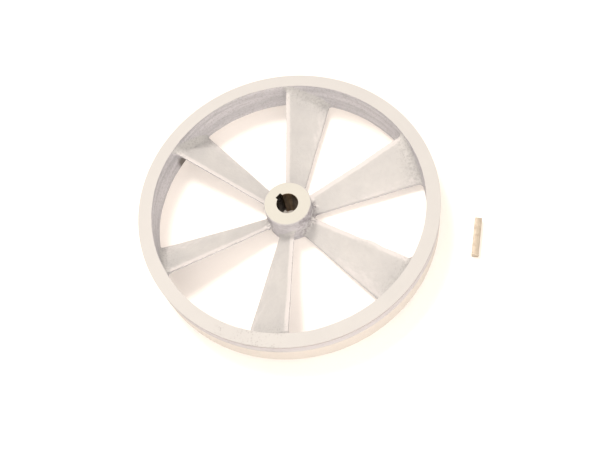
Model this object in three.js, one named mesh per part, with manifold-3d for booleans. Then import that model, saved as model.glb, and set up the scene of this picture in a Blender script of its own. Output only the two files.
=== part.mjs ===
// Single-groove V belt pulley with six fan-blade arms, its loose parallel key and its set screw.
// Millimetres, +Z up along the bore. The origin is on the bore's axis, level with the hub's back face.
// The front is the upper side. The casting is one piece on the real object. Here its rim, hub and arms
// are separate solids of one rigid body, with castingGap between them.
import * as THREE from 'three';
import { mergeVertices } from 'three/addons/utils/BufferGeometryUtils.js';
import Module from 'manifold-3d';

const wasm = await Module();
wasm.setup();

const inch = 25.4;
const radians = THREE.MathUtils.degToRad;

// Rim
const rimDiameter = 14 * inch;
const rimWidth = 1.75 * inch;
const rimWallFront = 16.2; // radial thickness at the front face
const rimWallBack = 13.8; // and at the back face, because the inside is drafted
const grooveWidth = 12.9; // across the mouth
const grooveDepth = 11.8;
const grooveAngle = 38; // included, degrees
const grooveLand = 3.2; // rim edge between the front face and the groove

// Hub, bore and keyway
const hubDiameter = 56;
const hubLength = 1.75 * inch;
const hubStandOff = 7; // the hub's back face stands this far behind the rim's
const hubChamfer = 0.8;
const boreDiameter = 25;
const boreChamfer = 0.5;
const keywayDepth = 3.3; // beyond the bore's wall
const keywayAngle = 115.3; // degrees from +X

// Arms: plates pitched like fan blades and a little hollow on the front. Each edge has an upright side,
// and a band beside it, on the front of the high edge and on the back of the low one.
const armCount = 6;
const armFirstAngle = 0.6; // degrees from +X
const armRootHalfWidth = 9.8; // across the arm, at the hub
const armTipHalfWidth = 26.2; // across the arm, at the rim
const armRootBelowHubFront = 21.9; // top of the high edge, at the hub
const armRootAboveHubBack = 4.6; // bottom of the low edge, at the hub
const armTipBelowRimFront = 5.4; // top of the high edge, at the rim
const armTipAboveRimBack = 0.4; // bottom of the low edge, at the rim
const armSide = 3.8; // height of an edge's upright side
const armBandWidth = 5.2;
const armBandDrop = 2.6;
const armHollowRoot = 0.5;
const armHollowTip = 1.8;
const castingGap = 0.3;

// Key
const keyWidth = 8;
const keyHeight = 7;
const keyLength = 48;
const keyChamfer = 0.4;
const keywayClearance = 0.05;
const keyToRim = 44.1; // from the rim's edge to the key's middle
const keyPlaceAngle = -30.6; // where it lies around the pulley, degrees
const keyTurn = 58.9; // direction of its length, degrees

// Set screw over the keyway
const screwDiameter = 8;
const screwLength = 10;
const screwSocket = 4; // across the flats
const screwSocketDepth = 4.2;
const screwCupDepth = 0.9;
const screwChamfer = 0.7;
const screwHoleClearance = 0.3;
const screwBelowHubFront = 12;
const screwBackOff = 0.3; // from the keyway's floor to the screw's cup

// Facets around the full circle
const rimFacets = 96;
const hubFacets = 64;
const screwFacets = 24;
const armStations = 6;
const armFaceFacets = 6;
const cutterOverrun = 2;

const rimRadius = rimDiameter / 2;
const rimBack = hubStandOff;
const rimFront = rimBack + rimWidth;
const rimInnerFront = rimRadius - rimWallFront;
const rimInnerBack = rimRadius - rimWallBack;
const hubRadius = hubDiameter / 2;
const boreRadius = boreDiameter / 2;
const keywayFloor = boreRadius + keywayDepth;
const keywayWidth = keyWidth + keywayClearance;
const grooveFloorRadius = rimRadius - grooveDepth;
const grooveRise = grooveDepth * Math.tan(radians(grooveAngle / 2));
const grooveFrontEdge = rimFront - grooveLand;
const grooveBackEdge = grooveFrontEdge - grooveWidth;
const grooveFloorFront = grooveFrontEdge - grooveRise;
const grooveFloorBack = grooveBackEdge + grooveRise;

function solidOf(geometry) {
  geometry.deleteAttribute('normal');
  geometry.deleteAttribute('uv');
  const merged = mergeVertices(geometry, 1e-4);
  const mesh = new wasm.Mesh({
    numProp: 3,
    vertProperties: new Float32Array(merged.attributes.position.array),
    triVerts: new Uint32Array(merged.index.array),
  });
  return new wasm.Manifold(mesh);
}

function geometryOf(solid) {
  const mesh = solid.getMesh();
  const geometry = new THREE.BufferGeometry();
  geometry.setAttribute('position', new THREE.BufferAttribute(mesh.vertProperties, 3));
  geometry.setIndex(new THREE.BufferAttribute(mesh.triVerts, 1));
  geometry.computeVertexNormals();
  return geometry;
}

// A solid of revolution about Z from an anticlockwise outline of [radius, height] points.
function revolve(outline, facets) {
  const points = outline.map(([radius, height]) => new THREE.Vector2(radius, height));
  const first = points[0];
  const last = points[points.length - 1];
  if (first.x > 0 || last.x > 0) points.push(first.clone());
  const lathe = new THREE.LatheGeometry(points, facets);
  return lathe.rotateX(Math.PI / 2);
}

// Radius of the rim's drafted inner wall at a height.
function rimInner(height) {
  const share = (rimFront - height) / rimWidth;
  return THREE.MathUtils.lerp(rimInnerFront, rimInnerBack, share);
}

// The rim is stored as three rings: each flange, and the wall under the groove.
function rimFrontFlange() {
  return revolve([
    [rimInner(grooveFloorFront), grooveFloorFront],
    [grooveFloorRadius, grooveFloorFront],
    [rimRadius, grooveFrontEdge],
    [rimRadius, rimFront],
    [rimInner(rimFront), rimFront],
  ], rimFacets);
}

function rimGrooveFloor() {
  const front = grooveFloorFront - castingGap;
  const back = grooveFloorBack + castingGap;
  return revolve([
    [rimInner(back), back],
    [grooveFloorRadius, back],
    [grooveFloorRadius, front],
    [rimInner(front), front],
  ], rimFacets);
}

function rimBackFlange() {
  return revolve([
    [rimInner(rimBack), rimBack],
    [rimRadius, rimBack],
    [rimRadius, grooveBackEdge],
    [grooveFloorRadius, grooveFloorBack],
    [rimInner(grooveFloorBack), grooveFloorBack],
  ], rimFacets);
}

function hub() {
  const body = solidOf(revolve([
    [boreRadius, boreChamfer],
    [boreRadius + boreChamfer, 0],
    [hubRadius - hubChamfer, 0],
    [hubRadius, hubChamfer],
    [hubRadius, hubLength - hubChamfer],
    [hubRadius - hubChamfer, hubLength],
    [boreRadius + boreChamfer, hubLength],
    [boreRadius, hubLength - boreChamfer],
  ], hubFacets));
  const keyway = new THREE.BoxGeometry(keywayFloor, keywayWidth, hubLength + 2 * cutterOverrun);
  keyway.translate(keywayFloor / 2, 0, hubLength / 2);
  keyway.rotateZ(radians(keywayAngle));
  const screwHole = new THREE.CylinderGeometry(
    screwDiameter / 2 + screwHoleClearance,
    screwDiameter / 2 + screwHoleClearance,
    hubRadius + cutterOverrun - boreRadius,
    screwFacets,
  );
  screwHole.rotateZ(-Math.PI / 2);
  screwHole.translate((hubRadius + cutterOverrun + boreRadius) / 2, 0, hubLength - screwBelowHubFront);
  screwHole.rotateZ(radians(keywayAngle));
  return geometryOf(body.subtract(solidOf(keyway)).subtract(solidOf(screwHole)));
}

// A solid skinned over a row of outlines that have the same number of points.
function loft(outlines) {
  const count = outlines[0].length;
  const positions = outlines.flat().flatMap((point) => point.toArray());
  const indices = [];
  for (let ring = 0; ring < outlines.length - 1; ring += 1) {
    for (let i = 0; i < count; i += 1) {
      const here = ring * count + i;
      const next = ring * count + (i + 1) % count;
      indices.push(here, next, here + count, next, next + count, here + count);
    }
  }
  const lastRing = (outlines.length - 1) * count;
  const flat = outlines[0].map((point) => new THREE.Vector2(point.y, point.z));
  for (const [a, b, c] of THREE.ShapeUtils.triangulateShape(flat, [])) {
    indices.push(a, c, b);
    indices.push(lastRing + a, lastRing + b, lastRing + c);
  }
  const geometry = new THREE.BufferGeometry();
  geometry.setAttribute('position', new THREE.Float32BufferAttribute(positions, 3));
  geometry.setIndex(indices);
  return geometry;
}

// Section of the arm that runs out along +X, at a distance from the bore's axis.
function armOutline(along) {
  const share = (along - hubRadius) / (rimInnerFront - hubRadius);
  const halfWidth = THREE.MathUtils.lerp(armRootHalfWidth, armTipHalfWidth, share);
  const top = THREE.MathUtils.lerp(hubLength - armRootBelowHubFront, rimFront - armTipBelowRimFront, share);
  const bottom = THREE.MathUtils.lerp(armRootAboveHubBack, rimBack + armTipAboveRimBack, share);
  const hollow = THREE.MathUtils.lerp(armHollowRoot, armHollowTip, share);
  const highEdge = [
    [halfWidth, top - armSide],
    [halfWidth, top],
  ];
  const lowEdge = [
    [-halfWidth, bottom + armSide],
    [-halfWidth, bottom],
  ];
  const frontStart = [halfWidth - armBandWidth, top - armBandDrop];
  const backStart = [-halfWidth + armBandWidth, bottom + armBandDrop];
  const front = hollowFace(frontStart, lowEdge[0], -hollow);
  const back = hollowFace(backStart, highEdge[0], -hollow);
  const outline = [...highEdge, ...front, ...lowEdge, ...back];
  return outline.map(([across, height]) => new THREE.Vector3(along, across, height));
}

// Points along one face of the section, from its start up to but not including its end.
function hollowFace(start, end, bow) {
  const points = [];
  for (let i = 0; i < armFaceFacets; i += 1) {
    const share = i / armFaceFacets;
    const across = THREE.MathUtils.lerp(start[0], end[0], share);
    const height = THREE.MathUtils.lerp(start[1], end[1], share);
    points.push([across, height + 4 * bow * share * (1 - share)]);
  }
  return points;
}

function arm() {
  const start = hubRadius / 2;
  const end = rimInnerBack + cutterOverrun;
  const outlines = [];
  for (let i = 0; i <= armStations; i += 1) {
    outlines.push(armOutline(THREE.MathUtils.lerp(start, end, i / armStations)));
  }
  const insideRim = revolve([
    [0, rimBack - cutterOverrun],
    [rimInner(rimBack - cutterOverrun) - castingGap, rimBack - cutterOverrun],
    [rimInner(rimFront + cutterOverrun) - castingGap, rimFront + cutterOverrun],
    [0, rimFront + cutterOverrun],
  ], rimFacets);
  const hubRoom = new THREE.CylinderGeometry(
    hubRadius + castingGap,
    hubRadius + castingGap,
    2 * hubLength,
    hubFacets,
  );
  hubRoom.rotateX(Math.PI / 2);
  return geometryOf(solidOf(loft(outlines)).intersect(solidOf(insideRim)).subtract(solidOf(hubRoom)));
}

// The key stands on its end here, along Z, with its height along X and its four long edges chamfered.
function parallelKey() {
  const high = keyHeight / 2;
  const wide = keyWidth / 2;
  const highFlat = high - keyChamfer;
  const wideFlat = wide - keyChamfer;
  const section = new THREE.Shape([
    new THREE.Vector2(highFlat, -wide),
    new THREE.Vector2(high, -wideFlat),
    new THREE.Vector2(high, wideFlat),
    new THREE.Vector2(highFlat, wide),
    new THREE.Vector2(-highFlat, wide),
    new THREE.Vector2(-high, wideFlat),
    new THREE.Vector2(-high, -wideFlat),
    new THREE.Vector2(-highFlat, -wide),
  ]);
  const key = new THREE.ExtrudeGeometry(section, { depth: keyLength, bevelEnabled: false });
  return key.translate(0, 0, -keyLength / 2);
}

// The set screw stands on its cup point at z = 0, with its hexagon socket at the top.
function setScrew() {
  const radius = screwDiameter / 2;
  const body = revolve([
    [0, screwCupDepth],
    [radius / 2, 0],
    [radius - screwChamfer, 0],
    [radius, screwChamfer],
    [radius, screwLength - screwChamfer],
    [radius - screwChamfer, screwLength],
    [0, screwLength],
  ], screwFacets);
  const socketRadius = screwSocket / Math.sqrt(3);
  const socketHeight = screwSocketDepth + cutterOverrun;
  const socket = new THREE.CylinderGeometry(socketRadius, socketRadius, socketHeight, 6);
  socket.rotateX(Math.PI / 2);
  socket.translate(0, 0, screwLength - screwSocketDepth + socketHeight / 2);
  return geometryOf(solidOf(body).subtract(solidOf(socket)));
}

const paintedFace = { color: 0xe4dfd8, roughness: 0.55, metalness: 0.0 };
const paintedCasting = { color: 0xd6d2cc, roughness: 0.75, metalness: 0.0 };
const rustyKeySteel = { color: 0x9a8468, roughness: 0.5, metalness: 0.8 };
const blackScrewSteel = { color: 0x2b2a29, roughness: 0.4, metalness: 0.8 };

function named(name, geometry, look) {
  const mesh = new THREE.Mesh(geometry, new THREE.MeshStandardMaterial(look));
  mesh.name = name;
  return mesh;
}

const pulley = new THREE.Group();
pulley.add(named('rim_front_flange', rimFrontFlange(), paintedFace));
pulley.add(named('rim_groove_floor', rimGrooveFloor(), paintedCasting));
pulley.add(named('rim_back_flange', rimBackFlange(), paintedFace));
pulley.add(named('hub', hub(), paintedFace));

for (let i = 0; i < armCount; i += 1) {
  const mesh = named(`arm_${i + 1}`, arm(), paintedCasting);
  mesh.rotation.z = radians(armFirstAngle) + i * 2 * Math.PI / armCount;
  pulley.add(mesh);
}

const key = named('parallel_key', parallelKey(), rustyKeySteel);
const keyLying = new THREE.Group();
key.rotation.y = Math.PI / 2;
keyLying.add(key);
const keyPlaceRadius = rimRadius + keyToRim;
keyLying.position.set(
  keyPlaceRadius * Math.cos(radians(keyPlaceAngle)),
  keyPlaceRadius * Math.sin(radians(keyPlaceAngle)),
  keyHeight / 2,
);
keyLying.rotation.z = radians(keyTurn);

const screw = named('set_screw', setScrew(), blackScrewSteel);
const screwAxis = new THREE.Group();
screw.position.x = keywayFloor + screwBackOff;
screw.rotation.y = Math.PI / 2;
screwAxis.add(screw);
screwAxis.position.z = hubLength - screwBelowHubFront;
screwAxis.rotation.z = radians(keywayAngle);

const group = new THREE.Group();
group.add(pulley, keyLying, screwAxis);

export default group;
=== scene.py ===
import math

import bpy
import numpy as np
from mathutils import Matrix, Vector


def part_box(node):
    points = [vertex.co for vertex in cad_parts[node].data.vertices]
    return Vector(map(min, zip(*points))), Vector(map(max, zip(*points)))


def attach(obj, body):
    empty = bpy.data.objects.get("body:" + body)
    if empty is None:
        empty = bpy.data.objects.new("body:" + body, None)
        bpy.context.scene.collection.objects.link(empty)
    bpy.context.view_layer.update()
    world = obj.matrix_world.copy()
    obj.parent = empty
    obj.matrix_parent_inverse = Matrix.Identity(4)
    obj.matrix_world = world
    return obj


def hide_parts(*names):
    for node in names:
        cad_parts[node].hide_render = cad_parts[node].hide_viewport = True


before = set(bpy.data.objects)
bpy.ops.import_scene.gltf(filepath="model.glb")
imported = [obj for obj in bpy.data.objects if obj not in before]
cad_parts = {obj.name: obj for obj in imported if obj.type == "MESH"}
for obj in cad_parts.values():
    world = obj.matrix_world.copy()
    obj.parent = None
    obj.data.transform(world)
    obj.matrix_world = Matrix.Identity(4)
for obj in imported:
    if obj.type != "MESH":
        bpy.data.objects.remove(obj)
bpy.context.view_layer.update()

MM = 0.001
INCH = 25.4

# The pulley's sizes, in millimetres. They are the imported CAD's, except that the arms' bands are 0.2 mm
# wider here, the set screw's hole is 0.05 mm narrower in radius, and the rim's edges are broken.
RIM_RADIUS = 7 * INCH
RIM_BACK = 7.0
RIM_FRONT = RIM_BACK + 1.75 * INCH
RIM_WALL_FRONT = 16.2
RIM_WALL_BACK = 13.8
GROOVE_WIDTH = 12.9
GROOVE_DEPTH = 11.8
GROOVE_HALF_ANGLE = math.radians(19)
GROOVE_LAND = 3.2
RIM_EDGE_BREAK = 0.35
HUB_RADIUS = 28.0
HUB_LENGTH = 1.75 * INCH
HUB_CHAMFER = 0.8
BORE_RADIUS = 12.5
BORE_CHAMFER = 0.5
KEYWAY_DEPTH = 3.3
KEYWAY_WIDTH = 8.05
KEYWAY_ANGLE = math.radians(115.3)
SCREW_BELOW_HUB_FRONT = 12.0
SCREW_HEIGHT = HUB_LENGTH - SCREW_BELOW_HUB_FRONT
SCREW_HOLE_RADIUS = 4.25

ARM_COUNT = 6
ARM_FIRST = math.radians(0.6)
ARM_HALF = (9.8, 26.2)
ARM_TOP = (HUB_LENGTH - 21.9, RIM_FRONT - 5.4)
ARM_BOTTOM = (4.6, RIM_BACK + 0.4)
ARM_SIDE = 3.8
BAND_WIDTH = 5.4
BAND_DROP = 2.6
ARM_HOLLOW = (0.5, 1.8)
ARM_EDGE_ROUND = 0.7
BAND_ROUND = 0.4

# Fillets and allowances of the casting, before it is turned
FACE_FILLET = 10.0
EDGE_FILLET = (4.0, 6.5)
HUB_FILLET = 4.5
FILLET_SPAN = 9.0  # over which an edge's fillet grows into the face's
SPARE_SIDE = 2.5
SPARE_FRONT = 3.0
SPARE_BACK = 4.0
SPARE_HUB_BACK = 3.0
HUB_REACH = 60.0  # inside this radius the casting is closed off at the hub's ends

KEY_WIDTH = 8.0
KEY_HEIGHT = 7.0
KEY_LENGTH = 48.0
KEY_TURN = math.radians(58.9)

SCREW_RADIUS = 4.0
SCREW_LENGTH = 10.0
SCREW_PITCH = 1.25
SCREW_SOCKET = 4.0
SCREW_SOCKET_DEPTH = 4.2

BLISTER_ANGLE = math.radians(-124)
BLISTER_SPREAD = math.radians(15)
GRIME_ANGLE = math.radians(-38)

CELL = 1.1  # of the grid that the casting's surface is found on
LATHE_SIDES = 288
rng = np.random.default_rng(7)


# ---------------------------------------------------------------- helpers

def mix(ends, share):
    return ends[0] + (ends[1] - ends[0]) * share


def new_object(name, verts, faces, smooth=True, scale=MM):
    mesh = bpy.data.meshes.new(name)
    points = [tuple(float(c) * scale for c in v) for v in verts]
    corners = [tuple(int(i) for i in f) for f in faces]
    mesh.from_pydata(points, [], corners)
    mesh.validate()
    obj = bpy.data.objects.new(name, mesh)
    bpy.context.scene.collection.objects.link(obj)
    mesh.polygons.foreach_set("use_smooth", [smooth] * len(mesh.polygons))
    return obj


class Noise:
    """Smooth random values on a repeating lattice, from -1 to 1."""

    SIZE = 32

    def __init__(self, wavelength):
        self.lattice = rng.uniform(-1, 1, (self.SIZE,) * 3).astype(np.float32)
        self.wavelength = wavelength

    def __call__(self, points):
        at = points / self.wavelength
        low = np.floor(at).astype(np.int32)
        part = (at - low).astype(np.float32)
        part = part * part * (3 - 2 * part)
        total = 0
        for corner in np.ndindex(2, 2, 2):
            index = (low + np.array(corner)) % self.SIZE
            weight = np.prod(np.where(np.array(corner) == 1, part, 1 - part), axis=1)
            total = total + weight * self.lattice[index[:, 0], index[:, 1], index[:, 2]]
        return total


def lathe(profile, sides):
    """A closed outline of (radius, height) turned round the Z axis: vertices and faces."""
    verts, faces = [], []
    count = len(profile)
    for i in range(sides):
        angle = 2 * math.pi * i / sides
        for radius, height in profile:
            verts.append((radius * math.cos(angle), radius * math.sin(angle), height))
    for i in range(sides):
        j = (i + 1) % sides
        for a in range(count):
            b = (a + 1) % count
            faces.append((i * count + a, j * count + a, j * count + b, i * count + b))
    return verts, faces


# ---------------------------------------------------------------- the casting's rough form

def rim_inner(height):
    """Radius of the rim's inside wall, which has a little draft."""
    share = (RIM_FRONT - height) / (RIM_FRONT - RIM_BACK)
    return RIM_RADIUS - mix((RIM_WALL_FRONT, RIM_WALL_BACK), share)


def join_round(a, b, radius):
    """The union of two distance fields, with a fillet where they meet."""
    inner = np.hypot(np.maximum(radius - a, 0), np.maximum(radius - b, 0))
    return np.maximum(radius, np.minimum(a, b)) - inner


def cut_round(a, b, radius):
    """The part common to two distance fields, with its edge rounded."""
    outer = np.hypot(np.maximum(radius + a, 0), np.maximum(radius + b, 0))
    return np.minimum(-radius, np.maximum(a, b)) + outer


def soft_max(a, b, reach):
    """The larger of two values, blended where they are closer than reach."""
    blend = np.maximum(reach - np.abs(a - b), 0) / reach
    return np.maximum(a, b) + blend * blend * reach / 4


def arm_share(along):
    """How far out along an arm a place is: 0 at the hub and 1 at the rim."""
    return (along - HUB_RADIUS) / (RIM_RADIUS - RIM_WALL_FRONT - HUB_RADIUS)


def arm_field(along, across, height):
    """About the signed distance to one arm: pitched, hollow on the front and bowed out on the back."""
    share = np.clip(arm_share(along), -0.2, 1.1)
    half = mix(ARM_HALF, share)
    top = mix(ARM_TOP, share)
    bottom = mix(ARM_BOTTOM, share)
    hollow = mix(ARM_HOLLOW, share)
    run = 2 * half - BAND_WIDTH
    rise = top - BAND_DROP - bottom - ARM_SIDE
    slope = BAND_DROP / BAND_WIDTH

    u = (across + half) / run
    face = bottom + ARM_SIDE + rise * u - 4 * hollow * u * (1 - u)
    face_slope = (rise - 4 * hollow * (1 - 2 * u)) / run
    band = top + (across - half) * slope
    above_face = (height - face) / np.hypot(1, face_slope)
    above_band = (height - band) / math.hypot(1, slope)
    front = soft_max(above_face, above_band, BAND_ROUND)

    v = (across + half - BAND_WIDTH) / run
    face = bottom + BAND_DROP + rise * v - 4 * hollow * v * (1 - v)
    face_slope = (rise - 4 * hollow * (1 - 2 * v)) / run
    band = bottom + (across + half) * slope
    below_face = (face - height) / np.hypot(1, face_slope)
    below_band = (band - height) / math.hypot(1, slope)
    back = soft_max(below_face, below_band, BAND_ROUND)

    side = np.abs(across) - half
    return cut_round(cut_round(front, side, ARM_EDGE_ROUND), back, ARM_EDGE_ROUND)


wave_long = [Noise(34), Noise(34), Noise(34)]
SWELLING = np.array((72, -83, 36))  # a swollen stretch of the last arm's high edge
flash_fine = Noise(3.4)
flash_wide = Noise(8.5)
FLASH = [  # where the mould leaked at the roots of the arms: place, reach and height
    (30.5, -4, 20, 7.5, 1.9), (27.5, -13, 18, 7.0, 1.7), (-29.5, -9, 21, 6.5, 2.3),
    (20, -22, 20, 6.5, 1.5), (9, -29, 16, 5.0, 1.3),
]


def casting_field(points):
    """Signed distance to the casting before it is turned, in millimetres."""
    warp = np.stack([n(points) for n in wave_long], axis=1)
    radius = np.hypot(points[:, 0], points[:, 1])
    share = np.clip((radius - HUB_RADIUS) / 60, 0, 1)[:, None]
    moved = points + warp * (0.25 + 0.55 * share)
    angle = np.arctan2(moved[:, 1], moved[:, 0]) - ARM_FIRST
    step = 2 * math.pi / ARM_COUNT
    nearest = np.round(angle / step)
    local = angle - nearest * step
    moved_radius = np.hypot(moved[:, 0], moved[:, 1])
    other = local - np.where(local > 0, step, -step)
    half = mix(ARM_HALF, arm_share(moved_radius))
    across = moved_radius * np.sin(local)
    edge_fillet = np.where(across > 0, EDGE_FILLET[1], EDGE_FILLET[0])
    rim_fillet = mix((edge_fillet, FACE_FILLET), np.clip((half - np.abs(across)) / FILLET_SPAN, 0, 1))
    arms = None
    for turn in (local, other):
        field = arm_field(moved_radius * np.cos(turn), moved_radius * np.sin(turn), moved[:, 2])
        field = np.where(np.abs(turn) < math.pi / 2, field, 50)
        arms = field if arms is None else np.minimum(arms, field)
    streaked_wall_shade = rim_inner(points[:, 2]) + 0.35 * warp[:, 0] - radius
    hub = radius - HUB_RADIUS
    field = join_round(join_round(streaked_wall_shade, arms, rim_fillet), hub, HUB_FILLET)
    crust = np.zeros(len(points))
    for x, y, z, reach, height in FLASH:
        away = np.linalg.norm(points - np.array((x, y, z)), axis=1)
        crust = np.maximum(crust, height * np.clip(1.3 - away / reach, 0, 1))
    ragged = np.clip(np.abs(2.2 * flash_fine(points)) + 0.7 * flash_wide(points), 0, 1.1)
    swelling = 1.5 * np.exp(-np.sum((points - SWELLING) ** 2, axis=1) / 90)
    return field - crust * ragged - swelling


def in_chunks(function, points, size=400_000):
    return np.concatenate([function(points[i:i + size]) for i in range(0, len(points), size)])


def surface_net(field, origin, step):
    """The surface where the field is zero, as one vertex a cell and one quad a crossing."""
    inside = field < 0
    n = np.array(field.shape) - 1
    corners = list(np.ndindex(2, 2, 2))

    def at(array, corner):
        return array[tuple(slice(c, c + m) for c, m in zip(corner, n))]

    count = sum(at(inside, c).astype(np.int8) for c in corners)
    active = (count > 0) & (count < 8)
    cells = np.argwhere(active)
    index = np.full(n, -1, np.int32)
    index[active] = np.arange(len(cells))
    total = np.zeros((len(cells), 3))
    crossings = np.zeros(len(cells))
    values = {c: at(field, c)[active].astype(float) for c in corners}
    for a in corners:
        for axis in range(3):
            if a[axis]:
                continue
            b = tuple(1 if k == axis else a[k] for k in range(3))
            fa, fb = values[a], values[b]
            crosses = (fa < 0) != (fb < 0)
            share = np.where(crosses, fa / np.where(crosses, fa - fb, 1), 0)
            place = np.array(a, float)[None, :] + share[:, None] * np.eye(3)[axis]
            total += place * crosses[:, None]
            crossings += crosses
    verts = (cells + total / crossings[:, None]) * step + origin

    quads = []
    for axis in range(3):
        u, v = (axis + 1) % 3, (axis + 2) % 3
        first = np.take(inside, range(0, n[axis]), axis)
        second = np.take(inside, range(1, n[axis] + 1), axis)
        for here, there in ((first, second), (second, first)):
            edges = np.argwhere(here & ~there)
            at_u, at_v = edges[:, u], edges[:, v]
            edges = edges[(at_u > 0) & (at_v > 0) & (at_u < n[u]) & (at_v < n[v])]
            step_u, step_v = np.eye(3, dtype=int)[u], np.eye(3, dtype=int)[v]
            ring = [edges - step_u - step_v, edges - step_v, edges, edges - step_u]
            ring = [index[tuple(c.T)] for c in ring]
            if here is second:
                ring.reverse()
            quads.append(np.stack(ring, axis=1))
    return verts, np.concatenate(quads)


def gradient(function, points, step=0.05):
    columns = []
    for axis in range(3):
        shift = np.zeros(3)
        shift[axis] = step
        rise = in_chunks(function, points + shift) - in_chunks(function, points - shift)
        columns.append(rise / (2 * step))
    return np.stack(columns, axis=1)


def blank_field(points):
    """The rough casting, closed off outside the rim and above and below it."""
    radius = np.hypot(points[:, 0], points[:, 1])
    height = points[:, 2]
    ends = np.maximum(height - (RIM_FRONT + SPARE_FRONT), RIM_BACK - SPARE_BACK - height)
    hub_ends = np.maximum(height - (HUB_LENGTH + SPARE_FRONT), -SPARE_HUB_BACK - height)
    ends = np.where(radius < HUB_REACH, hub_ends, ends)
    bounds = np.maximum(ends, radius - (RIM_RADIUS + SPARE_SIDE))
    return np.maximum(casting_field(points), bounds)


def rough_casting():
    """The unturned casting as a mesh: found on a grid, moved onto the field's zero, then roughened."""
    reach = RIM_RADIUS + 6
    low = np.array([-reach, -reach, -5.5])
    high = np.array([reach, reach, RIM_FRONT + 6])
    size = np.ceil((high - low) / CELL).astype(int) + 1
    axes = [low[k] + CELL * np.arange(size[k]) for k in range(3)]
    grid = np.stack(np.meshgrid(*axes, indexing="ij"), axis=-1).reshape(-1, 3)
    radius = np.hypot(grid[:, 0], grid[:, 1])
    near = (radius < RIM_RADIUS - 8) & (grid[:, 2] < RIM_FRONT + 4.5)
    field = np.empty(len(grid), np.float32)
    outer = grid[~near]
    outer_radius = radius[~near]
    outer_height = outer[:, 2]
    field[~near] = np.maximum(
        np.maximum(outer_radius - (RIM_RADIUS + SPARE_SIDE), outer_height - (RIM_FRONT + SPARE_FRONT)),
        np.maximum(RIM_BACK - SPARE_BACK - outer_height, rim_inner(outer_height) - outer_radius),
    )
    field[near] = in_chunks(blank_field, grid[near])
    verts, quads = surface_net(field.reshape(size), low, CELL)

    radius = np.hypot(verts[:, 0], verts[:, 1])
    cast = (radius < RIM_RADIUS - 8) & (verts[:, 2] < RIM_FRONT + 1.5) & (verts[:, 2] > -1.5)
    for _ in range(2):
        points = verts[cast]
        slope = gradient(casting_field, points)
        length = np.maximum(np.sum(slope * slope, axis=1), 0.1)
        move = -in_chunks(casting_field, points)[:, None] * slope / length[:, None]
        distance = np.maximum(np.linalg.norm(move, axis=1), 1e-6)
        move *= np.minimum(1, 0.6 * CELL / distance)[:, None]
        verts[cast] = points + move
    points = verts[cast]
    slope = gradient(casting_field, points)
    slope /= np.maximum(np.linalg.norm(slope, axis=1), 1e-6)[:, None]
    rough = 0.11 * Noise(7)(points) + 0.06 * Noise(3.1)(points)
    verts[cast] = points + slope * rough[:, None]
    return verts, quads


def turned_envelope():
    """What the lathe leaves: everything outside this outline is cut off the casting."""
    rise = GROOVE_DEPTH * math.tan(GROOVE_HALF_ANGLE)
    front_edge = RIM_FRONT - GROOVE_LAND
    back_edge = front_edge - GROOVE_WIDTH
    floor = RIM_RADIUS - GROOVE_DEPTH
    e = RIM_EDGE_BREAK
    clear = 150.0
    waist = HUB_RADIUS + 6
    profile = [
        (BORE_RADIUS, BORE_CHAMFER),
        (BORE_RADIUS + BORE_CHAMFER, 0),
        (HUB_RADIUS - HUB_CHAMFER, 0),
        (HUB_RADIUS, HUB_CHAMFER),
        (waist, HUB_CHAMFER + 0.4),
        (waist, -8),
        (clear, -8),
        (clear, RIM_BACK),
        (RIM_RADIUS - e, RIM_BACK),
        (RIM_RADIUS, RIM_BACK + e),
        (RIM_RADIUS, back_edge - e),
        (RIM_RADIUS - e, back_edge + e / 4),
        (floor + e, back_edge + rise - e / 2),
        (floor, back_edge + rise),
        (floor, front_edge - rise),
        (floor + e, front_edge - rise + e / 2),
        (RIM_RADIUS - e, front_edge - e / 4),
        (RIM_RADIUS, front_edge + e),
        (RIM_RADIUS, RIM_FRONT - e),
        (RIM_RADIUS - e, RIM_FRONT),
        (clear, RIM_FRONT),
        (clear, RIM_FRONT + 9),
        (waist, RIM_FRONT + 9),
        (waist, HUB_LENGTH - HUB_CHAMFER - 0.4),
        (HUB_RADIUS, HUB_LENGTH - HUB_CHAMFER),
        (HUB_RADIUS - HUB_CHAMFER, HUB_LENGTH),
        (BORE_RADIUS + BORE_CHAMFER, HUB_LENGTH),
        (BORE_RADIUS, HUB_LENGTH - BORE_CHAMFER),
    ]
    verts, faces = lathe(profile, LATHE_SIDES)
    return new_object("cut_turned", verts, faces)


def keyway_cutter():
    """A long bar that reaches from inside the bore to the keyway's floor, whose corners are broken."""
    half = KEYWAY_WIDTH / 2
    outer = BORE_RADIUS + KEYWAY_DEPTH
    corner = 0.35
    inner = 4.0
    section = [
        (inner, -half),
        (outer - corner, -half),
        (outer, -half + corner),
        (outer, half - corner),
        (outer - corner, half),
        (inner, half),
    ]
    c, s = math.cos(KEYWAY_ANGLE), math.sin(KEYWAY_ANGLE)
    verts = []
    for height in (-6, HUB_LENGTH + 6):
        verts += [(x * c - y * s, x * s + y * c, height) for x, y in section]
    n = len(section)
    faces = [tuple(range(n))[::-1], tuple(range(n, 2 * n))]
    faces += [(i, (i + 1) % n, (i + 1) % n + n, i + n) for i in range(n)]
    return new_object("cut_keyway", verts, faces)


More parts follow.
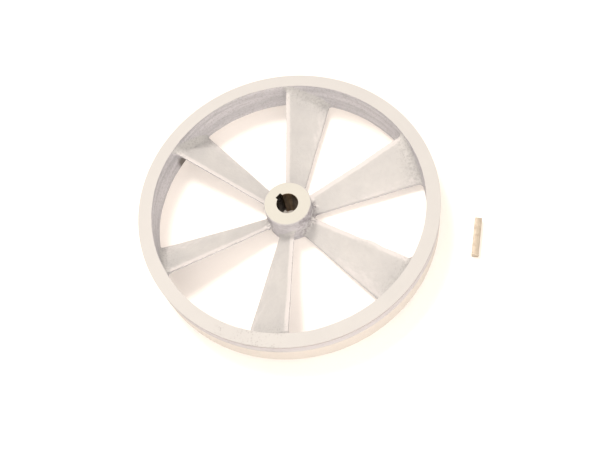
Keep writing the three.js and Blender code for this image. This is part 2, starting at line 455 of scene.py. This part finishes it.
def screw_hole_cutter():
    """The set screw's hole, from inside the bore out through the hub's side, with a countersunk mouth."""
    mouth = HUB_RADIUS + 3
    start = 9.0
    rings = [
        (SCREW_HOLE_RADIUS, start),
        (SCREW_HOLE_RADIUS, HUB_RADIUS - 0.6),
        (SCREW_HOLE_RADIUS + 3, mouth - 0.6),
    ]
    sides = 32
    verts = [(0, 0, start), (0, 0, mouth)]
    for radius, place in rings:
        for i in range(sides):
            angle = 2 * math.pi * i / sides
            verts.append((radius * math.cos(angle), radius * math.sin(angle), place))
    faces = []
    for i in range(sides):
        j = (i + 1) % sides
        faces.append((0, 2 + j, 2 + i))
        for k in range(len(rings) - 1):
            a = 2 + k * sides
            faces.append((a + i, a + j, a + sides + j, a + sides + i))
        last = 2 + (len(rings) - 1) * sides
        faces.append((1, last + i, last + j))
    turn = Matrix.Rotation(KEYWAY_ANGLE, 3, "Z") @ Matrix.Rotation(math.pi / 2, 3, "Y")
    verts = [turn @ Vector(v) + Vector((0, 0, SCREW_HEIGHT)) for v in verts]
    return new_object("cut_screw", verts, faces)


def apply_boolean(obj, cutter, operation):
    modifier = obj.modifiers.new("cut", "BOOLEAN")
    modifier.operation = operation
    modifier.solver = "MANIFOLD"
    modifier.object = cutter
    graph = bpy.context.evaluated_depsgraph_get()
    cut = bpy.data.meshes.new_from_object(obj.evaluated_get(graph))
    obj.modifiers.clear()
    if not len(cut.polygons):
        raise RuntimeError(f"cutting with {cutter.name} left nothing")
    old = obj.data
    obj.data = cut
    bpy.data.meshes.remove(old)
    bpy.data.objects.remove(cutter)


TURNED, CAST, BARE = range(3)


def casting_zones(mesh):
    """Which finish each face has: turned and painted, cast and painted, or bare metal in the bore."""
    count = len(mesh.polygons)
    centre = np.empty(count * 3)
    normal = np.empty(count * 3)
    mesh.polygons.foreach_get("center", centre)
    mesh.polygons.foreach_get("normal", normal)
    centre = centre.reshape(-1, 3) / MM
    normal = normal.reshape(-1, 3)
    radius = np.hypot(centre[:, 0], centre[:, 1])
    flat = np.abs(normal[:, 2]) > 0.999
    faces = radius > RIM_RADIUS - GROOVE_DEPTH - 0.6
    on_rim, on_hub = radius > 145, radius < HUB_RADIUS
    for level, there in ((RIM_FRONT, on_rim), (RIM_BACK, on_rim), (HUB_LENGTH, on_hub), (0, on_hub)):
        faces |= flat & there & (np.abs(centre[:, 2] - level) < 0.02)
    zone = np.where(faces, TURNED, CAST)
    bore = (radius < BORE_RADIUS + KEYWAY_DEPTH + 0.3) & ~flat
    inside_screw_hole = (radius < HUB_RADIUS - 0.7) & ~flat
    zone[bore | inside_screw_hole] = BARE
    return zone


def casting(materials):
    verts, quads = rough_casting()
    obj = new_object("casting", verts, quads)
    apply_boolean(obj, turned_envelope(), "INTERSECT")
    apply_boolean(obj, keyway_cutter(), "DIFFERENCE")
    apply_boolean(obj, screw_hole_cutter(), "DIFFERENCE")
    mesh = obj.data
    mesh.materials.clear()
    for material in materials:
        mesh.materials.append(material)
    mesh.polygons.foreach_set("material_index", casting_zones(mesh).astype(np.int32))
    mesh.polygons.foreach_set("use_smooth", [True] * len(mesh.polygons))
    mesh.set_sharp_from_angle(angle=math.radians(26))
    mesh.update()
    return obj


# ---------------------------------------------------------------- key and set screw

def key_mesh():
    """Flat bar along X with a small round on its long corners and dressed ends."""
    corner = 0.42
    arc = [math.radians(a) for a in (0, 22.5, 45, 67.5, 90)]
    section = []
    for quarter, (across, up) in enumerate(((1, 1), (-1, 1), (-1, -1), (1, -1))):
        turn = quarter * math.pi / 2
        for a in arc:
            y = across * (KEY_WIDTH / 2 - corner) + corner * math.cos(turn + a)
            z = up * (KEY_HEIGHT / 2 - corner) + corner * math.sin(turn + a)
            section.append((y, z))
    n = len(section)
    wobble = Noise(5.5)
    end = KEY_LENGTH / 2
    stations = [(-end, 0.95), (-end + 0.1, 0.985), (-end + 0.3, 1.0)]
    stations += [(x, 1.0) for x in np.linspace(-end + 1.5, end - 1.5, 40)]
    stations += [(end - 0.3, 1.0), (end - 0.1, 0.985), (end, 0.95)]
    points = np.array([(x, y * share, z * share) for x, share in stations for y, z in section])
    inward = points * np.array([0, 2 / KEY_WIDTH, 2 / KEY_HEIGHT])
    points = points - inward * (0.05 * (1 + wobble(points)))[:, None] / 2
    faces = []
    for k in range(len(stations) - 1):
        for i in range(n):
            j = (i + 1) % n
            faces.append((k * n + i, k * n + j, (k + 1) * n + j, (k + 1) * n + i))
    first = len(points)
    points = np.vstack([points, [[-end, 0, 0], [end, 0, 0]]])
    last = (len(stations) - 1) * n
    for i in range(n):
        j = (i + 1) % n
        faces.append((first, j, i))
        faces.append((first + 1, last + i, last + j))
    return points, faces


def screw_mesh():
    """Socket set screw along Z: cup point at the bottom, hexagon socket at the top, rolled thread between."""
    sides = 36
    depth = 0.6 * SCREW_PITCH
    half = SCREW_LENGTH / 2
    chamfer = 0.75
    rows = np.arange(-half + chamfer, half - 0.7, SCREW_PITCH / 8)
    rings = []
    angles = 2 * math.pi * np.arange(sides) / sides

    def ring(radii, height):
        level = np.full(sides, height)
        rings.append(np.stack([radii * np.cos(angles), radii * np.sin(angles), level], axis=1))

    ones = np.ones(sides)
    ring(0.02 * ones, -half + 0.9)
    ring(SCREW_RADIUS * 0.48 * ones, -half + 0.05)
    ring(SCREW_RADIUS * 0.55 * ones, -half)
    ring((SCREW_RADIUS - chamfer) * ones, -half)
    for height in rows:
        phase = (height / SCREW_PITCH - angles / (2 * math.pi)) % 1
        tooth = np.clip(np.abs(phase - 0.5) * 2.5 - 0.2, 0, 1)
        limit = min(1.0, (half - abs(height)) / 0.9)
        cone = SCREW_RADIUS - chamfer + chamfer * limit
        ring(np.minimum(SCREW_RADIUS - 0.02 - depth * tooth, cone), height)
    ring((SCREW_RADIUS - chamfer) * ones, half)
    across = SCREW_SOCKET / 2
    hexagon = across / np.cos((angles + math.pi / 6) % (math.pi / 3) - math.pi / 6)
    ring(hexagon * 1.13, half)
    ring(hexagon, half - 0.35)
    ring(hexagon, half - SCREW_SOCKET_DEPTH + 0.5)
    ring(0.02 * ones, half - SCREW_SOCKET_DEPTH)
    verts = np.concatenate(rings)
    faces = []
    for k in range(len(rings) - 1):
        for i in range(sides):
            j = (i + 1) % sides
            faces.append((k * sides + i, k * sides + j, (k + 1) * sides + j, (k + 1) * sides + i))
    faces.append(tuple(range(sides))[::-1])
    last = (len(rings) - 1) * sides
    faces.append(tuple(range(last, last + sides)))
    return verts, faces


# ---------------------------------------------------------------- materials

class Nodes:
    """Short names for building one material."""

    def __init__(self, name, base, roughness, metallic=0.0, specular=0.5):
        self.material = bpy.data.materials.new(name)
        self.material.use_nodes = True
        self.tree = self.material.node_tree
        self.tree.nodes.clear()
        self.output = self.add("ShaderNodeOutputMaterial")
        self.shader = self.add("ShaderNodeBsdfPrincipled")
        self.link(self.shader.outputs[0], self.output.inputs[0])
        self.shader.inputs["Base Color"].default_value = (*base, 1)
        self.shader.inputs["Roughness"].default_value = roughness
        self.shader.inputs["Metallic"].default_value = metallic
        self.shader.inputs["Specular IOR Level"].default_value = specular
        self.place = self.add("ShaderNodeTexCoord").outputs["Object"]

    def add(self, kind, **settings):
        node = self.tree.nodes.new(kind)
        for key, value in settings.items():
            setattr(node, key, value)
        return node

    def link(self, a, b):
        self.tree.links.new(a, b)

    def put(self, value, socket):
        if isinstance(value, bpy.types.NodeSocket):
            self.link(value, socket)
        elif isinstance(value, (tuple, list)) and len(value) == 3 and socket.type == "RGBA":
            socket.default_value = (*value, 1)
        else:
            socket.default_value = value

    def math(self, operation, a, b=0.0, clamp=False):
        node = self.add("ShaderNodeMath", operation=operation, use_clamp=clamp)
        for value, socket in zip((a, b), node.inputs):
            self.put(value, socket)
        return node.outputs[0]

    def noise(self, scale, detail, roughness, place=None):
        node = self.add("ShaderNodeTexNoise")
        self.link(place or self.place, node.inputs["Vector"])
        node.inputs["Scale"].default_value = scale
        node.inputs["Detail"].default_value = detail
        node.inputs["Roughness"].default_value = roughness
        return node.outputs["Fac"]

    def cells(self, scale):
        node = self.add("ShaderNodeTexVoronoi")
        self.link(self.place, node.inputs["Vector"])
        node.inputs["Scale"].default_value = scale
        return node.outputs["Distance"]

    def stretch(self, scale, turn=(0, 0, 0)):
        node = self.add("ShaderNodeMapping")
        self.link(self.place, node.inputs["Vector"])
        node.inputs["Rotation"].default_value = turn
        node.inputs["Scale"].default_value = scale
        return node.outputs[0]

    def parts(self):
        node = self.add("ShaderNodeSeparateXYZ")
        self.link(self.place, node.inputs[0])
        return node.outputs

    def upward(self):
        """How far the surface faces up: 1 when it is level, 0 when upright, -1 when it faces down."""
        split = self.add("ShaderNodeSeparateXYZ")
        self.link(self.add("ShaderNodeNewGeometry").outputs["Normal"], split.inputs[0])
        return split.outputs[2]

    def towards(self, x, y, angle):
        """Distance from the axis in the direction of an angle round it."""
        along_x = self.math("MULTIPLY", x, math.cos(angle))
        along_y = self.math("MULTIPLY", y, math.sin(angle))
        return self.math("ADD", along_x, along_y)

    def radius(self):
        x, y, _ = self.parts()
        return self.math("SQRT", self.math("ADD", self.math("MULTIPLY", x, x), self.math("MULTIPLY", y, y)))

    def ramp(self, value, low, high, to_low=0.0, to_high=1.0, smooth=False):
        node = self.add("ShaderNodeMapRange")
        if smooth:
            node.interpolation_type = "SMOOTHSTEP"
        names = ("Value", "From Min", "From Max", "To Min", "To Max")
        for name, setting in zip(names, (value, low, high, to_low, to_high)):
            self.put(setting, node.inputs[name])
        return node.outputs[0]

    def mix(self, share, a, b):
        node = self.add("ShaderNodeMix", data_type="RGBA")
        self.put(share, node.inputs[0])
        self.put(a, node.inputs[6])
        self.put(b, node.inputs[7])
        return node.outputs[2]

    def colour(self, value):
        self.put(value, self.shader.inputs["Base Color"])

    def roughness(self, value):
        self.put(value, self.shader.inputs["Roughness"])

    def bump(self, height, distance, strength=1.0, below=None):
        node = self.add("ShaderNodeBump")
        node.inputs["Distance"].default_value = distance
        node.inputs["Strength"].default_value = strength
        self.link(height, node.inputs["Height"])
        if below is not None:
            self.link(below, node.inputs["Normal"])
        self.link(node.outputs[0], self.shader.inputs["Normal"])
        return node.outputs[0]


def painted_cast():
    """Paint on sand-cast iron, with painted light and shade: lighter where a surface faces up, greyer, cooler
    and streaked where it is steep.
    """
    n = Nodes("painted_cast", (0.46, 0.475, 0.475), 0.6, specular=0.3)
    sand = n.noise(900, 3, 0.6)
    lumps = n.noise(260, 2, 0.5)
    patches = n.noise(38, 4, 0.6)
    radius = n.radius()
    x, y, z = n.parts()
    tint = n.mix(n.ramp(patches, 0.35, 0.68), (0.472, 0.488, 0.492), (0.43, 0.446, 0.456))
    tint = n.mix(n.ramp(lumps, 0.5, 0.75, 0, 0.2), tint, (0.38, 0.39, 0.40))
    upward = n.upward()
    # painted light: surfaces that face up, such as the arms' bands, are lighter
    tint = n.mix(n.ramp(upward, 0.84, 0.89, 0, 0.9, smooth=True), tint, (0.53, 0.535, 0.545))
    # steep walls: real paint streaks, in a cooler tone whose level is painted shade
    streaks = n.noise(190, 3, 0.6, n.stretch((0.08, 0.08, 1)))
    streaked_wall_shade = n.mix(n.ramp(streaks, 0.35, 0.65), (0.40, 0.41, 0.45), (0.56, 0.565, 0.61))
    tint = n.mix(n.ramp(upward, 0.3, 0.0, 0, 0.85), tint, streaked_wall_shade)
    # coarse, poorly filled sand near the arms' ends, with the paint thin over it
    pitted = n.ramp(n.noise(430, 3, 0.65), 0.5, 0.62)
    coarse = n.math("MULTIPLY", n.ramp(radius, 0.138, 0.158), pitted, clamp=True)
    tint = n.mix(n.math("MULTIPLY", coarse, 0.5), tint, (0.29, 0.30, 0.31))
    # grime and burnt sand between the roots of the first and last arms, and beside the fourth, with painted
    # shade all round the hub's steep side
    side = n.math("MULTIPLY", n.ramp(radius, 0.040, 0.030), n.ramp(upward, 0.9, 0.5), clamp=True)
    first = n.ramp(n.math("DIVIDE", n.towards(x, y, GRIME_ANGLE), radius), 0.55, 0.9)
    second = n.ramp(n.math("DIVIDE", x, radius), -0.88, -0.95)
    around = n.math("ADD", n.math("ADD", first, second), 0.25, clamp=True)
    smears = n.ramp(n.noise(210, 4, 0.65), 0.40, 0.56)
    grime_and_shade = n.math("MULTIPLY", n.math("MULTIPLY", side, around), smears, clamp=True)
    tint = n.mix(n.math("MULTIPLY", grime_and_shade, 0.75), tint, (0.20, 0.19, 0.215))
    # painted shade: the rim's wall low down, just under each arm's high edge, where the arm overhangs it
    step = 2 * math.pi / ARM_COUNT
    turn = n.math("MODULO", n.math("ADD", n.math("ARCTAN2", y, x), 2 * math.pi - ARM_FIRST), step)
    after_edge = n.ramp(turn, math.radians(1), math.radians(3))
    before_end = n.ramp(turn, math.radians(10.5), math.radians(8.5))
    overhang_shade = n.math("MULTIPLY", after_edge, before_end)
    overhang_shade = n.math("MULTIPLY", overhang_shade, n.ramp(z, 0.030, 0.016))
    overhang_shade = n.math("MULTIPLY", overhang_shade, n.ramp(radius, 0.150, 0.157), clamp=True)
    overhang_shade = n.math("MULTIPLY", overhang_shade, n.ramp(upward, 0.5, 0.3), clamp=True)
    tint = n.mix(n.math("MULTIPLY", overhang_shade, 0.85), tint, (0.10, 0.085, 0.07))
    n.colour(tint)
    n.roughness(n.ramp(sand, 0.3, 0.7, 0.52, 0.78))
    below = n.bump(lumps, 0.0006, 0.45)
    below = n.bump(coarse, 0.0004, 0.6, below)
    n.bump(sand, 0.00025, 0.6, below)
    return n.material


def painted_turned():
    """Paint on turned faces: smooth over fine tool lines."""
    n = Nodes("painted_turned", (0.46, 0.478, 0.475), 0.5, specular=0.35)
    radius = n.radius()
    x, y, z = n.parts()
    across_tool = n.math("ADD", radius, n.math("MULTIPLY", z, 0.8))
    tool = n.math("SINE", n.math("MULTIPLY", across_tool, 9000.0))
    cloud = n.noise(26, 4, 0.55)
    spots = n.noise(520, 2, 0.5)
    tint = n.mix(n.ramp(cloud, 0.35, 0.7), (0.430, 0.446, 0.450), (0.416, 0.432, 0.438))
    # a stretch of the rim's front face where the paint has blistered
    edge = math.cos(BLISTER_SPREAD)
    facing = n.math("DIVIDE", n.towards(x, y, BLISTER_ANGLE), radius)
    near = n.ramp(facing, edge, 1.0 - (1.0 - edge) * 0.6)
    near = n.math("MULTIPLY", near, n.ramp(n.noise(60, 2, 0.5), 0.4, 0.55), clamp=True)
    near = n.math("MULTIPLY", near, n.ramp(radius, 0.150, 0.158), clamp=True)
    blister = n.math("MULTIPLY", near, n.ramp(n.cells(420), 0.35, 0.15), clamp=True)
    tint = n.mix(n.math("MULTIPLY", blister, 0.65), tint, (0.32, 0.315, 0.325))
    # the rim's outer faces: painted light, lighter and peachier where steep as if lit from the floor; darker
    # on the narrow front land
    steep = n.ramp(n.math("ABSOLUTE", n.upward()), 0.5, 0.2)
    tint = n.mix(steep, tint, (0.53, 0.515, 0.49))
    front = RIM_FRONT * MM
    # painted light: the groove's sides and floor are lighter and bluer
    groove = n.math("MULTIPLY", n.ramp(radius, 0.1776, 0.1773), n.ramp(z, front - 0.001, front - 0.002))
    groove = n.math("MULTIPLY", groove, n.ramp(radius, 0.150, 0.163), clamp=True)
    tint = n.mix(groove, tint, (0.52, 0.52, 0.545))
    land = (RIM_FRONT - GROOVE_LAND) * MM
    front_land = n.math("MULTIPLY", steep, n.ramp(z, land - 0.0006, land), clamp=True)
    tint = n.mix(front_land, tint, (0.30, 0.285, 0.295))
    # the hub's faces are a little yellower
    tint = n.mix(n.ramp(radius, 0.031, 0.029, 0, 1), tint, (0.428, 0.446, 0.420))
    n.colour(tint)
    n.roughness(n.ramp(spots, 0.3, 0.7, 0.42, 0.58))
    below = n.bump(tool, 0.00006, 0.5)
    below = n.bump(blister, 0.0005, 0.8, below)
    n.bump(spots, 0.00012, 0.5, below)
    return n.material


def bare_bore():
    """Bare, oiled and rust-stained iron, with its marks along the bore."""
    n = Nodes("bare_bore", (0.05, 0.035, 0.022), 0.4, metallic=0.7)
    lines = n.noise(300, 3, 0.6, n.stretch((1, 1, 0.05)))
    blotch = n.noise(120, 3, 0.6)
    tint = n.mix(n.ramp(lines, 0.35, 0.7), (0.042, 0.028, 0.014), (0.21, 0.145, 0.075))
    tint = n.mix(n.ramp(blotch, 0.5, 0.75, 0, 0.6), tint, (0.09, 0.045, 0.02))
    # painted shade: the keyway and the wall to one side of it are near black
    x, y, _ = n.parts()
    beside = n.towards(x, y, KEYWAY_ANGLE - math.pi / 2)
    tint = n.mix(n.ramp(beside, 0.0042, 0.0038, 0, 0.9), tint, (0.006, 0.004, 0.003))
    n.colour(tint)
    n.roughness(n.ramp(blotch, 0.3, 0.7, 0.28, 0.6))
    n.bump(lines, 0.0002, 0.6)
    return n.material


def key_steel():
    """Steel bar brushed along its length, tarnished brown."""
    n = Nodes("key_steel", (0.35, 0.27, 0.19), 0.45, metallic=0.75)
    along = n.stretch((1, 1, 1), (0, 0, -KEY_TURN))
    mapping = n.add("ShaderNodeMapping")
    n.link(along, mapping.inputs["Vector"])
    mapping.inputs["Scale"].default_value = (0.06, 1, 1)
    brushed = n.noise(2600, 3, 0.6, mapping.outputs[0])
    blotch = n.noise(170, 4, 0.6)
    tint = n.mix(n.ramp(brushed, 0.3, 0.7), (0.35, 0.315, 0.255), (0.53, 0.495, 0.425))
    tint = n.mix(n.ramp(blotch, 0.55, 0.85, 0, 0.45), tint, (0.20, 0.135, 0.075))
    n.colour(tint)
    n.roughness(n.ramp(blotch, 0.3, 0.75, 0.34, 0.66))
    n.bump(brushed, 0.00012, 0.6)
    return n.material


def screw_steel():
    """Blackened steel, worn in places."""
    n = Nodes("screw_steel", (0.03, 0.03, 0.03), 0.4, metallic=0.6)
    specks = n.noise(1400, 3, 0.6)
    worn = n.noise(420, 2, 0.5)
    n.colour(n.mix(n.ramp(worn, 0.55, 0.8), (0.028, 0.028, 0.03), (0.10, 0.085, 0.07)))
    n.roughness(n.ramp(specks, 0.3, 0.7, 0.3, 0.5))
    n.bump(specks, 0.00004, 0.5)
    return n.material


def floor_paper():
    n = Nodes("floor_paper", (0.90, 0.885, 0.865), 0.8, specular=0.2)
    grain = n.noise(300, 2, 0.5)
    n.colour(n.mix(n.ramp(grain, 0.3, 0.7), (0.87, 0.865, 0.85), (0.86, 0.855, 0.84)))
    n.bump(grain, 0.0001, 0.2)
    return n.material


# ---------------------------------------------------------------- the object

pulley = casting([painted_turned(), painted_cast(), bare_bore()])
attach(pulley, "pulley")
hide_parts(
    "rim_front_flange", "rim_groove_floor", "rim_back_flange", "hub",
    *[f"arm_{i + 1}" for i in range(ARM_COUNT)],
)


def middle(node):
    low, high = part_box(node)
    return (low + high) / 2


verts, faces = key_mesh()
key = new_object("key", verts, faces)
key.data.set_sharp_from_angle(angle=math.radians(50))
key.data.materials.append(key_steel())
key.data.transform(Matrix.Translation(middle("parallel_key")) @ Matrix.Rotation(KEY_TURN, 4, "Z"))
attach(key, "loose_key")
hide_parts("parallel_key")

verts, faces = screw_mesh()
screw = new_object("screw", verts, faces)
screw.data.set_sharp_from_angle(angle=math.radians(35))
screw.data.materials.append(screw_steel())
screw.data.transform(
    Matrix.Translation(middle("set_screw"))
    @ Matrix.Rotation(KEYWAY_ANGLE, 4, "Z")
    @ Matrix.Rotation(math.pi / 2, 4, "Y")
)
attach(screw, "key_screw")
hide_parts("set_screw")


# ---------------------------------------------------------------- floor, light and camera

FLOOR_REACH = 3.0
corners = [(x * FLOOR_REACH, y * FLOOR_REACH, 0) for x, y in ((-1, -1), (1, -1), (1, 1), (-1, 1))]
floor = new_object("floor", corners, [(0, 1, 2, 3)], smooth=False, scale=1.0)
floor.location.z = -0.0002
floor.data.materials.append(floor_paper())

WARM = (1.15, 1.012, 0.907)
world = bpy.data.worlds.new("studio")
bpy.context.scene.world = world
world.use_nodes = True
sky = world.node_tree.nodes["Background"]
sky.inputs["Color"].default_value = (*WARM, 1)
sky.inputs["Strength"].default_value = 0.75


def soft_box(name, place, aim, size, watts, shadows=True):
    light = bpy.data.lights.new(name, "AREA")
    light.shape = "SQUARE"
    light.size = size
    light.energy = watts
    light.color = WARM
    light.use_shadow = shadows
    obj = bpy.data.objects.new(name, light)
    bpy.context.scene.collection.objects.link(obj)
    obj.location = place
    obj.rotation_euler = (Vector(aim) - Vector(place)).to_track_quat("-Z", "Y").to_euler()


soft_box("back", (-0.25, 0.85, 1.9), (0, 0, 0), 0.55, 27.0)
soft_box("over_camera", (-0.1, -1.15, 1.6), (0, 0, 0), 0.7, 17.0, shadows=False)
soft_box("front", (0.1, -1.8, 0.7), (0, 0, 0.02), 2.4, 14.0)

CAMERA_PLACE = Vector((-46.2, -441.0, 867.3)) * MM
CAMERA_AIM = Vector((6.29, -10.75, 0.0)) * MM
CAMERA_ROLL = math.radians(15.52)
camera_data = bpy.data.cameras.new("camera")
camera_data.lens = 47.68
camera_data.sensor_width = 36
camera_data.clip_end = 20
camera = bpy.data.objects.new("camera", camera_data)
bpy.context.scene.collection.objects.link(camera)
forward = (CAMERA_AIM - CAMERA_PLACE).normalized()
level = forward.cross(Vector((0, 0, 1))).normalized()
upright = level.cross(forward)
up = upright * math.cos(CAMERA_ROLL) + level * math.sin(CAMERA_ROLL)
right = forward.cross(up)
facing = Matrix((right, up, -forward)).transposed().to_4x4()
camera.matrix_world = Matrix.Translation(CAMERA_PLACE) @ facing
bpy.context.scene.camera = camera

bpy.context.scene.view_settings.view_transform = "Standard"
